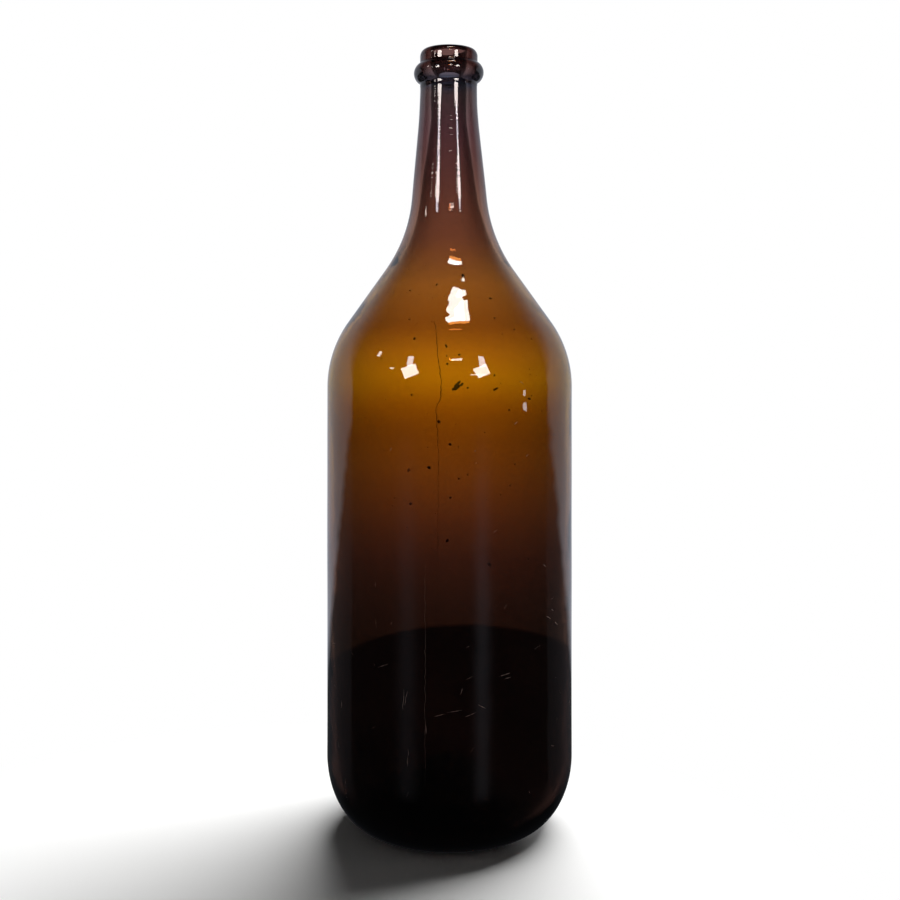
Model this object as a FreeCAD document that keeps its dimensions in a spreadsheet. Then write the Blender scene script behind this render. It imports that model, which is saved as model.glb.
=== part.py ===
import FreeCAD, Part
import math
import os
import Sketcher
from FreeCAD import Placement, Rotation, Vector

# A large mouth-blown bottle in one piece of glass: round body on a big soft heel,
# steep shoulder, long tapering neck, a trail of glass laid round the neck as a
# string ring, and a plain tooled lip above it. The base is pushed up underneath,
# so that the bottle rests on a narrow ring.
# Millimetres, +Z up, origin at the middle of the base on the resting plane.

doc = FreeCAD.newDocument("blown_bottle")

# Driving sizes. Corners are where two straight stretches of the profile would meet
# if they weren't rounded into each other. Leans are degrees from upright. What
# belongs to the neck and shoulder is measured down from the top of the lip, so a
# taller bottle has a longer side.
sizes = {
    # outside
    "bodyDiameter": 145.0,
    "overallHeight": 458.0,
    "restDiameter": 88.0,        # outer edge of the flat ring it stands on
    "restWidth": 4.0,
    "heelHeight": 42.0,          # where the heel has become the upright side
    "shoulderDrop": 179.1,       # corner of side and shoulder
    "shoulderLean": 35.6,
    "shoulderRadius": 66.0,
    "neckRootRadius": 88.0,      # hollow curve from shoulder to neck
    "neckLean": 5.6,
    "neckDiameter": 34.2,
    "neckBendDrop": 34.4,        # corner where the taper becomes the straight neck
    "neckBendRadius": 300.0,
    # string ring
    "ringSection": 12.8,         # height of the laid-on trail
    "ringDepth": 6.2,            # from its middle out to its crown
    "ringProud": 3.7,            # how far it stands out from the neck
    "ringDrop": 14.0,
    "ringTilt": 1.0,             # the ring sits a little higher at +X
    # lip
    "lipRounding": 3.5,
    "mouthRounding": 2.4,
    "melting": 1.2,              # both are this much longer down the wall than across it
    # push-up under the base
    "pushUpHeight": 30.0,
    "pushUpRadius": 14.0,
    "rimRadius": 7.0,
    # wall and hollow
    "floorWall": 9.0,            # glass over the top of the push-up
    "baseWall": 8.0,             # glass over the resting ring
    "valleyRadius": 9.0,         # round groove of the floor beside the push-up
    "lowerWall": 5.0,            # side wall above the heel
    "upperWall": 3.4,            # side wall under the shoulder
    "innerShoulderRadius": 62.0,
    "innerRootRadius": 92.0,
    "boreDiameter": 21.5,
    "boreDrop": 42.0,            # corner where the inside taper becomes the bore
    "boreLean": 8.0,
    "boreBendRadius": 60.0,
    "cutOver": 5.0,              # how far the hollow's cut runs past the lip
}

sheet = doc.addObject("Spreadsheet::Sheet", "sizes")
for row, (alias, value) in enumerate(sizes.items(), start=1):
    sheet.set(f"A{row}", alias)
    sheet.set(f"B{row}", str(value))
    sheet.setAlias(f"B{row}", alias)
doc.recompute()

body = doc.addObject("PartDesign::Body", "bottle")
body.Label = "bottle"

# points of a curve, and a sketch's own origin and axes
START = 1
END = 2
CENTRE = 3
ORIGIN = (-1, 1)
FLOOR = -1
AXIS = -2


def new_sketch(name):
    """A sketch on the body's upright plane: x is the radius, y the height."""
    sketch = body.newObject("Sketcher::SketchObject", name)
    planes = body.Origin.OriginFeatures
    sketch.AttachmentSupport = (next(p for p in planes if p.Role == "XZ_Plane"), [""])
    sketch.MapMode = "FlatFace"
    return sketch


def line(sketch, start, end):
    return sketch.addGeometry(Part.LineSegment(Vector(*start, 0), Vector(*end, 0)), False)


def arc(sketch, centre, radius, first, last):
    """An arc run anticlockwise between two angles in degrees."""
    circle = Part.Circle(Vector(*centre, 0), Vector(0, 0, 1), radius)
    curve = Part.ArcOfCircle(circle, math.radians(first), math.radians(last))
    return sketch.addGeometry(curve, False)


def quarter(sketch, centre, across, up, first):
    """A quarter of an upright or flat ellipse, run anticlockwise from first: 0, 90, 180 or 270."""
    middle = Vector(*centre, 0)
    if up > across:
        ellipse = Part.Ellipse(middle + Vector(0, up, 0), middle - Vector(across, 0, 0), middle)
        first -= 90
    else:
        ellipse = Part.Ellipse(middle + Vector(across, 0, 0), middle + Vector(0, up, 0), middle)
    piece = Part.ArcOfEllipse(ellipse, math.radians(first), math.radians(first + 90))
    return sketch.addGeometry(piece, False)


def polar(centre, radius, angle):
    turned = math.radians(angle)
    return (centre[0] + radius * math.cos(turned), centre[1] + radius * math.sin(turned))


def constrain(sketch, kind, *places):
    for place in places:
        sketch.addConstraint(Sketcher.Constraint(kind, *place))


def dimension(sketch, name, kind, place, formula, number=None):
    """A named dimension, bound to the sheet. number is given where the unit is an angle."""
    if number is None:
        number = float(sketch.evalExpression(formula))
    index = sketch.addConstraint(Sketcher.Constraint(kind, *place, number))
    sketch.renameConstraint(index, name)
    sketch.setExpression(f"Constraints.{name}", formula)


def corner(sketch, name, place, curves, across, up):
    """A construction point on straight stretches, dimensioned from axis and floor."""
    point = sketch.addGeometry(Part.Point(Vector(*place, 0)), True)
    for curve in curves:
        sketch.addConstraint(Sketcher.Constraint("PointOnObject", point, START, curve))
    dimension(sketch, name + "Across", "DistanceX", (*ORIGIN, point, START), across)
    dimension(sketch, name + "Up", "DistanceY", (*ORIGIN, point, START), up)


def leaning(sketch, name, stretch, alias):
    """Sets how far a straight stretch leans in from upright on its way up."""
    angle = math.radians(90 + sizes[alias])
    dimension(sketch, name, "Angle", (stretch,), f"90 deg + sizes.{alias} * 1 deg", angle)


def lean(lower, upper):
    """How far the line between two points leans in from upright, in degrees."""
    return math.degrees(math.atan2(lower[0] - upper[0], upper[1] - lower[1]))


def crossing(lower, lower_lean, upper, upper_lean):
    """Where the line up from one point meets the line down from another."""
    fall = math.tan(math.radians(lower_lean))
    rise = math.tan(math.radians(upper_lean))
    up = (lower[0] - upper[0] + fall * lower[1] - rise * upper[1]) / (fall - rise)
    return (lower[0] - fall * (up - lower[1]), up)


def rounding(at, below, above, radius):
    """Centre of the arc between lines that lean by these angles; above < below is hollow."""
    side = -1 if above > below else 1
    reach = radius / math.cos(math.radians((above - below) / 2))
    return polar(at, side * reach, (below + above) / 2)


def crossing_slope(low, low_radius, high, high_radius):
    """Slope in degrees of the line that touches a low circle and a high one between them."""
    reach = math.hypot(low[0] - high[0], low[1] - high[1])
    bearing = math.degrees(math.atan2(low[1] - high[1], low[0] - high[0]))
    return math.degrees(math.asin((low_radius + high_radius) / reach)) - bearing


def draw_walls(sketch, side, shoulder, cone_lean, bend, neck_lean, top, radii):
    """The stretch from the side to the mouth, the same in kind outside and inside.

    side is where it starts, shoulder and bend are corners, radii are the three
    roundings from the bottom up. Gives the curves in that order."""
    side_lean = lean(side, shoulder)
    root = crossing(shoulder, cone_lean, bend, neck_lean)
    bulge = rounding(shoulder, side_lean, cone_lean, radii[0])
    hollow = rounding(root, cone_lean, neck_lean, radii[1])
    easing = rounding(bend, neck_lean, 0, radii[2])
    over_bulge = polar(bulge, radii[0], cone_lean)
    under_hollow = polar(hollow, radii[1], 180 + cone_lean)
    over_hollow = polar(hollow, radii[1], 180 + neck_lean)
    under_easing = polar(easing, radii[2], 180 + neck_lean)
    over_easing = polar(easing, radii[2], 180)
    return [
        line(sketch, side, polar(bulge, radii[0], side_lean)),
        arc(sketch, bulge, radii[0], side_lean, cone_lean),
        line(sketch, over_bulge, under_hollow),
        arc(sketch, hollow, radii[1], 180 + neck_lean, 180 + cone_lean),
        line(sketch, over_hollow, under_easing),
        arc(sketch, easing, radii[2], 180, 180 + neck_lean),
        line(sketch, over_easing, (bend[0], top)),
    ]


def join_walls(sketch, walls):
    """The walls run on smoothly; a hollow arc runs downwards, so it joins end to end."""
    side, bulge, cone, hollow, neck, easing, mouth = walls
    constrain(
        sketch, "Tangent",
        (side, END, bulge, START), (bulge, END, cone, START), (cone, END, hollow, END),
        (hollow, START, neck, START), (neck, END, easing, END), (easing, START, mouth, START))
    constrain(sketch, "Vertical", (mouth,))


def draw_push_up(sketch, low, low_radius, high, high_radius):
    """A dome on the axis that falls in a straight slope into a round low circle."""
    slope = crossing_slope(low, low_radius, high, high_radius)
    dome = arc(sketch, high, high_radius, 90 - slope, 90)
    foot = polar(high, high_radius, 90 - slope)
    fall = line(sketch, foot, polar(low, low_radius, 270 - slope))
    round_foot = arc(sketch, low, low_radius, 270 - slope, 270)
    constrain(sketch, "Tangent", (dome, START, fall, START), (fall, END, round_foot, START))
    constrain(sketch, "PointOnObject", (dome, CENTRE, AXIS))
    return dome, round_foot


def close_on_axis(sketch, last, across, top, dome, dome_top):
    """The lid from the end of the last curve over the mouth, and the axis down to the dome."""
    lid = line(sketch, (across, top), (0, top))
    axis = line(sketch, (0, top), (0, dome_top))
    constrain(
        sketch, "Coincident",
        (last, END, lid, START), (lid, END, axis, START), (axis, END, dome, END))
    constrain(sketch, "Horizontal", (lid,))
    constrain(sketch, "PointOnObject", (lid, END, AXIS), (axis, END, AXIS))
    return lid, axis


def melted(alias, share):
    """How far across the lip an edge is rounded, within its share of the wall: number, formula."""
    wall = (sizes["neckDiameter"] - sizes["boreDiameter"]) / 2
    limit = f"{share} * (sizes.neckDiameter - sizes.boreDiameter) / 2"
    return min(sizes[alias], share * wall), f"min(sizes.{alias}; {limit})"


def outside_profile():
    """Push-up, resting ring, heel, side, shoulder and neck, closed along the axis."""
    sketch = new_sketch("outsideProfile")
    side_across = sizes["bodyDiameter"] / 2
    rest = sizes["restDiameter"] / 2
    top = sizes["overallHeight"]
    heel_height = sizes["heelHeight"]
    shoulder = (side_across, top - sizes["shoulderDrop"])
    bend = (sizes["neckDiameter"] / 2, top - sizes["neckBendDrop"])
    rim_centre = (rest - sizes["restWidth"], sizes["rimRadius"])
    dome_centre = (0, sizes["pushUpHeight"] - sizes["pushUpRadius"])
    radii = (sizes["shoulderRadius"], sizes["neckRootRadius"], sizes["neckBendRadius"])

    dome, rim = draw_push_up(
        sketch, rim_centre, sizes["rimRadius"], dome_centre, sizes["pushUpRadius"])
    land = line(sketch, (rim_centre[0], 0), (rest, 0))
    heel = quarter(sketch, (rest, heel_height), side_across - rest, heel_height, 270)
    across, across_formula = melted("lipRounding", 0.55)
    up = sizes["melting"] * across
    walls = draw_walls(
        sketch, (side_across, heel_height), shoulder, sizes["shoulderLean"],
        bend, sizes["neckLean"], top - up, radii)
    side, bulge, cone, hollow, neck, easing, mouth = walls
    lip = quarter(sketch, (bend[0] - across, top - up), across, up, 0)
    lid, axis = close_on_axis(sketch, lip, bend[0] - across, top, dome, sizes["pushUpHeight"])

    join_walls(sketch, walls)
    constrain(
        sketch, "Tangent",
        (rim, END, land, START), (land, END, heel, START), (heel, END, side, START),
        (mouth, END, lip, START))
    constrain(sketch, "Horizontal", (land,), (lip, CENTRE, lip, START))
    constrain(sketch, "Vertical", (side,), (lip, CENTRE, lip, END))
    constrain(sketch, "PointOnObject", (land, START, FLOOR))

    dimension(sketch, "pushUpTop", "DistanceY", (*ORIGIN, axis, END), "sizes.pushUpHeight")
    dimension(sketch, "pushUpRound", "Radius", (dome,), "sizes.pushUpRadius")
    dimension(sketch, "rimRound", "Radius", (rim,), "sizes.rimRadius")
    dimension(sketch, "restOutside", "DistanceX", (*ORIGIN, land, END), "sizes.restDiameter / 2")
    dimension(sketch, "restRing", "DistanceX", (land, START, land, END), "sizes.restWidth")
    dimension(sketch, "heelAcross", "DistanceX", (*ORIGIN, heel, CENTRE),
              "sizes.restDiameter / 2")
    dimension(sketch, "heelUp", "DistanceY", (*ORIGIN, heel, CENTRE), "sizes.heelHeight")
    dimension(sketch, "shoulderRound", "Radius", (bulge,), "sizes.shoulderRadius")
    dimension(sketch, "rootRound", "Radius", (hollow,), "sizes.neckRootRadius")
    dimension(sketch, "bendRound", "Radius", (easing,), "sizes.neckBendRadius")
    dimension(sketch, "lipAcross", "DistanceX", (lip, CENTRE, lip, START), across_formula)
    dimension(sketch, "lipUp", "DistanceY", (lip, CENTRE, lip, END),
              f"sizes.melting * {across_formula}")
    dimension(sketch, "top", "DistanceY", (*ORIGIN, lid, END), "sizes.overallHeight")
    corner(sketch, "shoulder", shoulder, (side, cone),
           "sizes.bodyDiameter / 2", "sizes.overallHeight - sizes.shoulderDrop")
    corner(sketch, "bend", bend, (neck, mouth),
           "sizes.neckDiameter / 2", "sizes.overallHeight - sizes.neckBendDrop")
    leaning(sketch, "shoulderSlope", cone, "shoulderLean")
    leaning(sketch, "neckSlope", neck, "neckLean")
    return sketch


def inside_profile():
    """The hollow from the floor over the push-up to past the mouth, closed along the axis."""
    sketch = new_sketch("insideProfile")
    rest = sizes["restDiameter"] / 2
    mouth_height = sizes["overallHeight"]
    top = mouth_height + sizes["cutOver"]
    across, across_formula = melted("mouthRounding", 0.4)
    up = sizes["melting"] * across
    heel_height = sizes["heelHeight"]
    side_across = sizes["bodyDiameter"] / 2
    low_side = (side_across - sizes["lowerWall"], heel_height)
    shoulder = (side_across - sizes["upperWall"], mouth_height - sizes["shoulderDrop"])
    bend = (sizes["boreDiameter"] / 2, mouth_height - sizes["boreDrop"])
    dome_radius = sizes["pushUpRadius"] + sizes["floorWall"]
    dome_top = sizes["pushUpHeight"] + sizes["floorWall"]
    valley_centre = (rest, sizes["baseWall"] + sizes["valleyRadius"])
    radii = (sizes["innerShoulderRadius"], sizes["innerRootRadius"], sizes["boreBendRadius"])

    dome, valley = draw_push_up(
        sketch, valley_centre, sizes["valleyRadius"], (0, dome_top - dome_radius), dome_radius)
    heel = quarter(
        sketch, (rest, heel_height), low_side[0] - rest, heel_height - sizes["baseWall"], 270)
    walls = draw_walls(
        sketch, low_side, shoulder, sizes["shoulderLean"], bend, sizes["boreLean"],
        mouth_height - up, radii)
    side, bulge, cone, hollow, neck, easing, bore = walls
    flare_across = bend[0] + across
    flare = quarter(sketch, (flare_across, mouth_height - up), across, up, 90)
    over = line(sketch, (flare_across, mouth_height), (flare_across, top))
    lid, axis = close_on_axis(sketch, over, flare_across, top, dome, dome_top)

    join_walls(sketch, walls)
    constrain(
        sketch, "Tangent",
        (valley, END, heel, START), (heel, END, side, START), (bore, END, flare, END))
    constrain(sketch, "Coincident", (flare, START, over, START))
    constrain(sketch, "Horizontal", (flare, CENTRE, flare, END))
    constrain(
        sketch, "Vertical",
        (valley, CENTRE, valley, END), (flare, CENTRE, flare, START), (over,))

    dimension(sketch, "floorTop", "DistanceY", (*ORIGIN, axis, END),
              "sizes.pushUpHeight + sizes.floorWall")
    dimension(sketch, "floorRound", "Radius", (dome,), "sizes.pushUpRadius + sizes.floorWall")
    dimension(sketch, "valleyAcross", "DistanceX", (*ORIGIN, valley, CENTRE),
              "sizes.restDiameter / 2")
    dimension(sketch, "valleyUp", "DistanceY", (*ORIGIN, valley, CENTRE),
              "sizes.baseWall + sizes.valleyRadius")
    dimension(sketch, "valleyRound", "Radius", (valley,), "sizes.valleyRadius")
    dimension(sketch, "heelAcross", "DistanceX", (*ORIGIN, heel, CENTRE),
              "sizes.restDiameter / 2")
    dimension(sketch, "heelUp", "DistanceY", (*ORIGIN, heel, CENTRE), "sizes.heelHeight")
    dimension(sketch, "shoulderRound", "Radius", (bulge,), "sizes.innerShoulderRadius")
    dimension(sketch, "rootRound", "Radius", (hollow,), "sizes.innerRootRadius")
    dimension(sketch, "bendRound", "Radius", (easing,), "sizes.boreBendRadius")
    dimension(sketch, "flareAcross", "DistanceX", (flare, END, flare, CENTRE), across_formula)
    dimension(sketch, "flareUp", "DistanceY", (flare, CENTRE, flare, START),
              f"sizes.melting * {across_formula}")
    dimension(sketch, "lipTop", "DistanceY", (*ORIGIN, over, START), "sizes.overallHeight")
    dimension(sketch, "top", "DistanceY", (*ORIGIN, lid, END),
              "sizes.overallHeight + sizes.cutOver")
    corner(sketch, "lowSide", low_side, (side,),
           "sizes.bodyDiameter / 2 - sizes.lowerWall", "sizes.heelHeight")
    corner(sketch, "shoulder", shoulder, (side, cone),
           "sizes.bodyDiameter / 2 - sizes.upperWall",
           "sizes.overallHeight - sizes.shoulderDrop")
    corner(sketch, "bend", bend, (neck, bore),
           "sizes.boreDiameter / 2", "sizes.overallHeight - sizes.boreDrop")
    leaning(sketch, "shoulderSlope", cone, "shoulderLean")
    leaning(sketch, "boreSlope", neck, "boreLean")
    return sketch


def ring_section():
    """D-shaped section of the trail laid round the neck, on a slightly tilted axis."""
    sketch = new_sketch("ringSection")
    tilt = Rotation(Vector(0, 0, 1), sizes["ringTilt"])
    height = sizes["overallHeight"] - sizes["ringDrop"]
    sketch.AttachmentOffset = Placement(Vector(0, height, 0), tilt)
    sketch.setExpression("AttachmentOffset.Base.y", "sizes.overallHeight - sizes.ringDrop")
    sketch.setExpression("AttachmentOffset.Rotation.Angle", "sizes.ringTilt")
    half = sizes["ringSection"] / 2
    depth = sizes["ringDepth"]
    middle = (sizes["neckDiameter"] / 2 + sizes["ringProud"] - depth, 0)
    lower = quarter(sketch, middle, depth, half, 270)
    upper = quarter(sketch, middle, depth, half, 0)
    back = line(sketch, (middle[0], half), (middle[0], -half))
    constrain(sketch, "Coincident", (lower, END, upper, START), (lower, CENTRE, upper, CENTRE))
    constrain(sketch, "Perpendicular", (upper, END, back, START), (back, END, lower, START))
    constrain(sketch, "Vertical", (back,))
    constrain(sketch, "PointOnObject", (lower, CENTRE, FLOOR), (lower, CENTRE, back))
    constrain(sketch, "PointOnObject", (lower, END, FLOOR))
    dimension(sketch, "half", "DistanceY", (lower, START, lower, CENTRE), "sizes.ringSection / 2")
    dimension(sketch, "otherHalf", "DistanceY", (upper, CENTRE, upper, END),
              "sizes.ringSection / 2")
    dimension(sketch, "depth", "DistanceX", (lower, CENTRE, lower, END), "sizes.ringDepth")
    dimension(sketch, "across", "DistanceX", (*ORIGIN, lower, CENTRE),
              "sizes.neckDiameter / 2 + sizes.ringProud - sizes.ringDepth")
    return sketch


def turn(kind, name, sketch):
    """A full turn of a sketch about its own upright axis."""
    feature = body.newObject("PartDesign::" + kind, name)
    feature.Profile = sketch
    feature.ReferenceAxis = (sketch, ["V_Axis"])
    feature.Angle = 360
    sketch.Visibility = False
    doc.recompute()
    return feature


print("outside: push-up, heel, side, shoulder, neck and lip")
blown = turn("Revolution", "blownForm", outside_profile())
print("string ring laid round the neck")
ring = turn("Revolution", "stringRing", ring_section())
print("hollow with its bore and softened mouth")
hollow = turn("Groove", "hollow", inside_profile())
body.Tip = hollow
doc.recompute()

for item in doc.Objects:
    if "Invalid" in item.State or "Error" in item.State:
        raise RuntimeError(f"{item.Name} failed: {item.State}")
volumes = [step.Shape.Volume for step in (blown, ring, hollow)]
if not volumes[1] > volumes[0] > volumes[2]:
    raise RuntimeError(f"a feature worked the wrong way: {volumes}")
shape = body.Shape
if shape.isNull() or not shape.isValid() or len(shape.Solids) != 1:
    raise RuntimeError("the bottle isn't one sound solid")

os.makedirs("parts", exist_ok=True)
shape.exportStep(f"parts/{body.Label}.step")
print(f"{body.Label}: {shape.Volume / 1000:.0f} cm3 of glass, {len(shape.Faces)} faces")
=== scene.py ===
import math
import random

import bpy
import numpy as np
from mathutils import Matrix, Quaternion, Vector


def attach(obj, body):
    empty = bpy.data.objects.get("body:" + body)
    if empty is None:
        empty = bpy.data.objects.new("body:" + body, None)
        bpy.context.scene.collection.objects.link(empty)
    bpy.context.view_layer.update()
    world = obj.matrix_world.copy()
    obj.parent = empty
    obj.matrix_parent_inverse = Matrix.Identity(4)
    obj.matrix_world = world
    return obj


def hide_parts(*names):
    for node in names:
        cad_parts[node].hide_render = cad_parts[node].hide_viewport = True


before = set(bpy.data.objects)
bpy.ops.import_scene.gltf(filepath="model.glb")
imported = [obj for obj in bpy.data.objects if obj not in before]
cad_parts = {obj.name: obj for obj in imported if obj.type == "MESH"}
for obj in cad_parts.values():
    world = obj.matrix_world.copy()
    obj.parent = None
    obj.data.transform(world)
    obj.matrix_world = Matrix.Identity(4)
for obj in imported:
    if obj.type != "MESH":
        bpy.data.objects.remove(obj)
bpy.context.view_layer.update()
mm = 0.001
print("frame loaded")


# small helpers

def linear(hexColour, alpha=1.0):
    # sRGB hex to the linear colour that sockets take
    parts = [int(hexColour[i:i + 2], 16) / 255 for i in (1, 3, 5)]
    return (*[p / 12.92 if p <= 0.04045 else ((p + 0.055) / 1.055) ** 2.4 for p in parts], alpha)


def addNode(tree, kind, fields=None, inputs=None):
    # an input takes a plain value, or another node's output to link from
    node = tree.nodes.new(kind)
    for field, value in (fields or {}).items():
        setattr(node, field, value)
    for socket, value in (inputs or {}).items():
        if isinstance(value, bpy.types.NodeSocket):
            tree.links.new(value, node.inputs[socket])
        else:
            node.inputs[socket].default_value = value
    return node


def newMaterial(name):
    material = bpy.data.materials.new(name)
    material.use_nodes = True
    material.node_tree.nodes.clear()
    return material, material.node_tree


def addMesh(name, points, faces, material, smooth=True):
    mesh = bpy.data.meshes.new(name)
    mesh.from_pydata(points, [], faces)
    mesh.materials.append(material)
    mesh.polygons.foreach_set("use_smooth", [smooth] * len(mesh.polygons))
    mesh.update()
    piece = bpy.data.objects.new(name, mesh)
    bpy.context.scene.collection.objects.link(piece)
    return piece


# camera

cameraSetup = {
    "distance": 727.4,      # mm from the bottle's axis
    "height": 283.4,
    "lens": 48.88,
    "shiftDown": 0.1186,    # the camera stays level, so the bottle's sides stay upright
    "aside": 0.3,
}

cameraData = bpy.data.cameras.new("camera")
cameraData.lens = cameraSetup["lens"]
cameraData.sensor_width = 36
cameraData.shift_y = -cameraSetup["shiftDown"]
camera = bpy.data.objects.new("camera", cameraData)
camera.location = (cameraSetup["aside"] * mm, -cameraSetup["distance"] * mm, cameraSetup["height"] * mm)
camera.rotation_euler = (math.radians(90), 0, 0)
bpy.context.scene.collection.objects.link(camera)
bpy.context.scene.camera = camera
bpy.context.scene.view_settings.view_transform = "Standard"
print("camera placed")


# outline of the glass wall

glassSizes = {              # mm and degrees
    "bodyDiameter": 145.0,
    "height": 458.0,
    "restDiameter": 88.0,
    "restWidth": 4.0,
    "heelHeight": 42.0,
    "shoulderDrop": 179.1,
    "shoulderLean": 35.6,
    "shoulderRadius": 66.0,
    "rootRadius": 88.0,
    "neckLean": 5.6,
    "neckDiameter": 34.2,
    "neckBendDrop": 34.4,
    "neckBendRadius": 300.0,
    "ringSection": 12.8,
    "ringDepth": 6.2,
    "ringProud": 3.7,
    "ringDrop": 14.0,
    "ringTilt": 1.0,
    "ringFusing": 1.1,      # how softly the ring melts into the neck
    "lipRounding": 3.5,
    "mouthRounding": 2.4,
    "melting": 1.2,         # both are this much longer down the wall than across it
    "seamDrop": 21.6,       # faint edge of the glass added for the finish, under the ring
    "seamStep": 0.14,
    "seamWander": 0.5,
    "seamSoftness": 0.7,
    "seamFrom": 380.0,      # height from which the step under the seam grows
    "seamGrowth": 40.0,
    "pushUpHeight": 30.0,
    "pushUpRadius": 14.0,
    "rimRadius": 7.0,
    "floorWall": 9.0,
    "baseWall": 8.0,
    "valleyRadius": 9.0,
    "lowerWall": 5.0,
    "upperWall": 3.4,
    "innerShoulderRadius": 62.0,
    "innerRootRadius": 92.0,
    "boreDiameter": 21.5,
    "boreDrop": 42.0,
    "boreLean": 8.0,
    "boreBendRadius": 60.0,
    "tiltHold": 1.6,        # above 1 the tilt is whole round the ring, gone a ring's height away
    "segmentsAround": 160,
    "archSpacing": 1.5,     # mm between the outline's points
    "wallSpacing": 3.2,
    "lipSpacing": 0.25,
}


def polar(centre, radius, angle):
    turned = math.radians(angle)
    return (centre[0] + radius * math.cos(turned), centre[1] + radius * math.sin(turned))


def arcPoints(centre, radii, first, last, step):
    # radii is (across, up); step is the rough spacing in mm
    count = max(3, round(math.radians(abs(last - first)) * max(radii) / step))
    turns = [math.radians(first + (last - first) * i / count) for i in range(count + 1)]
    return [(centre[0] + radii[0] * math.cos(t), centre[1] + radii[1] * math.sin(t)) for t in turns]


def linePoints(start, end, step):
    count = max(1, round(math.dist(start, end) / step))
    share = [i / count for i in range(count + 1)]
    return [(start[0] + (end[0] - start[0]) * s, start[1] + (end[1] - start[1]) * s) for s in share]


def crossing(lower, lowerLean, upper, upperLean):
    fall = math.tan(math.radians(lowerLean))
    rise = math.tan(math.radians(upperLean))
    up = (lower[0] - upper[0] + fall * lower[1] - rise * upper[1]) / (fall - rise)
    return (lower[0] - fall * (up - lower[1]), up)


def rounding(at, below, above, radius):
    side = -1 if above > below else 1
    reach = radius / math.cos(math.radians((above - below) / 2))
    return polar(at, side * reach, (below + above) / 2)


def wallRise(side, shoulder, coneLean, bend, neckLean, top, radii):
    # side, shoulder, cone, root of the neck, taper and straight neck, from the bottom up
    sideLean = math.degrees(math.atan2(side[0] - shoulder[0], shoulder[1] - side[1]))
    bulge = rounding(shoulder, sideLean, coneLean, radii[0])
    hollow = rounding(crossing(shoulder, coneLean, bend, neckLean), coneLean, neckLean, radii[1])
    easing = rounding(bend, neckLean, 0, radii[2])
    points = linePoints(side, polar(bulge, radii[0], sideLean), 4)
    spacing = glassSizes["archSpacing"]
    points += arcPoints(bulge, (radii[0],) * 2, sideLean, coneLean, spacing)
    points += arcPoints(hollow, (radii[1],) * 2, 180 + coneLean, 180 + neckLean, spacing)
    points += arcPoints(easing, (radii[2],) * 2, 180 + neckLean, 180, 2.5)
    points += [(bend[0], top)]
    return evened(points, glassSizes["wallSpacing"])


def evened(points, longest):
    # splits long stretches, drops doubled points
    result = [points[0]]
    for point in points[1:]:
        if math.dist(result[-1], point) > 0.01:
            result += linePoints(result[-1], point, longest)[1:]
    return result


def domeAndFoot(low, lowRadius, high, highRadius):
    # from the axis down the dome, the straight fall and round the low foot
    reach = math.dist(low, high)
    bearing = math.degrees(math.atan2(low[1] - high[1], low[0] - high[0]))
    slope = math.degrees(math.asin((lowRadius + highRadius) / reach)) - bearing
    points = arcPoints(high, (highRadius,) * 2, 90, 90 - slope, 0.8)
    points += arcPoints(low, (lowRadius,) * 2, 270 - slope, 270, 0.6)
    return evened(points, 3.0)


def outsideOutline(g):
    rest = g["restDiameter"] / 2
    side = g["bodyDiameter"] / 2
    neck = g["neckDiameter"] / 2
    top = g["height"]
    lipDown = g["lipRounding"] * g["melting"]
    points = domeAndFoot((rest - g["restWidth"], g["rimRadius"]), g["rimRadius"],
                         (0, g["pushUpHeight"] - g["pushUpRadius"]), g["pushUpRadius"])
    points += linePoints(points[-1], (rest, 0), 1)[1:]
    points += arcPoints((rest, g["heelHeight"]), (side - rest, g["heelHeight"]), 270, 360, 1.2)[1:]
    points += wallRise((side, g["heelHeight"]), (side, top - g["shoulderDrop"]), g["shoulderLean"],
                       (neck, top - g["neckBendDrop"]), g["neckLean"], top - lipDown,
                       (g["shoulderRadius"], g["rootRadius"], g["neckBendRadius"]))[1:]
    points = withRing(points, g)
    points += arcPoints((neck - g["lipRounding"], top - lipDown), (g["lipRounding"], lipDown),
                        0, 90, g["lipSpacing"])[1:]
    return points


def withRing(points, g):
    # the trail round the neck, melted into it by a soft maximum of the two radii
    level = g["height"] - g["ringDrop"]
    radius = g["ringSection"] / 2
    centre = g["neckDiameter"] / 2 + g["ringProud"] - g["ringDepth"]
    reach = radius + 2 * g["ringFusing"]
    below = [p for p in points if p[1] < level - reach]
    above = [p for p in points if p[1] > level + reach]
    start = below[-1]
    count = round(2 * reach / 0.2)
    for i in range(count + 1):
        height = level - reach + 2 * reach * i / count
        along = (height - start[1]) / (points[-1][1] - start[1])
        neck = start[0] + (points[-1][0] - start[0]) * min(1, along * 3)
        within = max(0, 1 - ((height - level) / radius) ** 2)
        bulge = centre + g["ringDepth"] * within ** 0.5
        soft = g["ringFusing"]
        blend = max(0, soft - abs(bulge - neck)) / soft
        below.append((max(bulge, neck) + blend ** 2 * soft / 4, height))
    return below + above


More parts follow.
